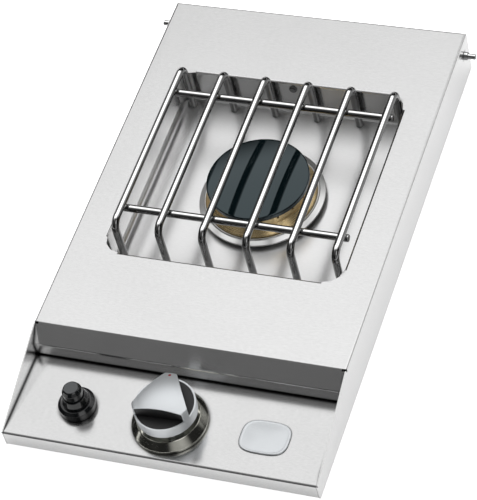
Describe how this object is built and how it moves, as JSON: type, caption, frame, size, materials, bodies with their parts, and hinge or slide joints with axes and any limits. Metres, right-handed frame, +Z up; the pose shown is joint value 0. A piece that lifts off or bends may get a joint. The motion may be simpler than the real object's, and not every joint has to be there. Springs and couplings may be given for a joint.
{
  "type": "built in side burner",
  "caption": "Drop in gas side burner for an outdoor kitchen counter, with a wire grate over a sunken burner and a knob and igniter on a low front panel.",
  "frame": {"origin": "centre of the underside of the burner box", "axes": "+X to the right, +Y from the front lip to the back, +Z up"},
  "size_m": [0.356, 0.561, 0.2238],
  "materials": {
    "brushed_steel": "fine brushing along the width",
    "polished_steel": "mirror polished",
    "satin_knob": "satin",
    "chrome_dial": "polished",
    "galvanised": "dull zinc coat",
    "brass": "turned and lightly polished",
    "black_enamel": "glossy vitreous enamel",
    "black_plastic": "gloss",
    "ceramic": "glazed ceramic",
    "red_silicone": "matte silicone sleeve"
  },
  "bodies": {
    "base": {"top_deck": "brushed_steel", "control_panel": "brushed_steel", "burner_pan": "brushed_steel", "burner_cup": "polished_steel", "pan_screw_back": "polished_steel", "pan_screw_front": "polished_steel", "hinge_pin_left": "polished_steel", "hinge_pin_right": "polished_steel", "hinge_bush_left": "polished_steel", "hinge_bush_right": "polished_steel", "electrode_pin": "polished_steel", "knob_bezel": "chrome_dial", "box_wrap": "galvanised", "box_front": "galvanised", "box_back": "galvanised", "burner_clamp_ring": "galvanised", "mixing_tube": "galvanised", "shutter_screw": "galvanised", "valve_bonnet": "galvanised", "bonnet_screw_left": "galvanised", "bonnet_screw_right": "galvanised", "valve_bracket": "galvanised", "stem_spring": "galvanised", "tube_clip": "galvanised", "box_screw_1": "galvanised", "box_screw_2": "galvanised", "box_screw_3": "galvanised", "box_screw_4": "galvanised", "clamp_screw_1": "galvanised", "clamp_screw_2": "galvanised", "clamp_screw_3": "galvanised", "valve_body": "brass", "gas_jet": "brass", "tube_nut": "brass", "inlet_fitting": "brass", "inlet_locknut": "brass", "gas_tube": "brass", "igniter_nut": "black_plastic", "igniter_barrel": "black_plastic", "spark_module": "black_plastic", "electrode_ceramic": "ceramic", "ignition_lead": "red_silicone"},
    "grate": {"grate_wire_1": "polished_steel", "grate_wire_2": "polished_steel", "grate_wire_3": "polished_steel", "grate_wire_4": "polished_steel", "grate_wire_5": "polished_steel", "grate_wire_6": "polished_steel", "grate_rod_front": "polished_steel", "grate_rod_back": "polished_steel"},
    "spreader": {"flame_spreader": "brass"},
    "cap": {"burner_cap": "black_enamel"},
    "stem_push": {"stem_washer": "galvanised"},
    "knob": {"knob_cap": "satin_knob", "valve_stem": "brass", "knob_inlay_1": "black_plastic", "knob_inlay_2": "black_plastic", "knob_inlay_3": "black_plastic"},
    "igniter_button": {"igniter_button": "black_plastic"},
    "air_shutter": {"air_shutter": "galvanised"}
  },
  "joints": [
    {"name": "grate_lift", "type": "slide", "parent": "base", "child": "grate", "axis": [0, 0, 1], "range_m": [0, 0.06]},
    {"name": "spreader_lift", "type": "slide", "parent": "base", "child": "spreader", "axis": [0, 0, 1], "range_m": [0, 0.0035]},
    {"name": "cap_lift", "type": "slide", "parent": "spreader", "child": "cap", "axis": [0, 0, 1], "range_m": [0, 0.0045]},
    {"name": "knob_push", "type": "slide", "parent": "base", "child": "stem_push", "axis": [0, 0, -1], "range_m": [0, 0.003], "stiffness_N_per_m": 2500, "springref_m": -0.001, "deforming": ["stem_spring"]},
    {"name": "knob_turn", "type": "hinge", "parent": "stem_push", "child": "knob", "pos_m": [0, -0.236, 0.213], "axis": [0, 0, 1], "range_deg": [0, 195]},
    {"name": "igniter_press", "type": "slide", "parent": "base", "child": "igniter_button", "axis": [0, 0, -1], "range_m": [0, 0.0035], "stiffness_N_per_m": 1500, "springref_m": -0.001},
    {"name": "shutter_turn", "type": "hinge", "parent": "base", "child": "air_shutter", "pos_m": [0, -0.1955, 0.138], "axis": [0, 1, 0], "range_deg": [0, 40]}
  ]
}
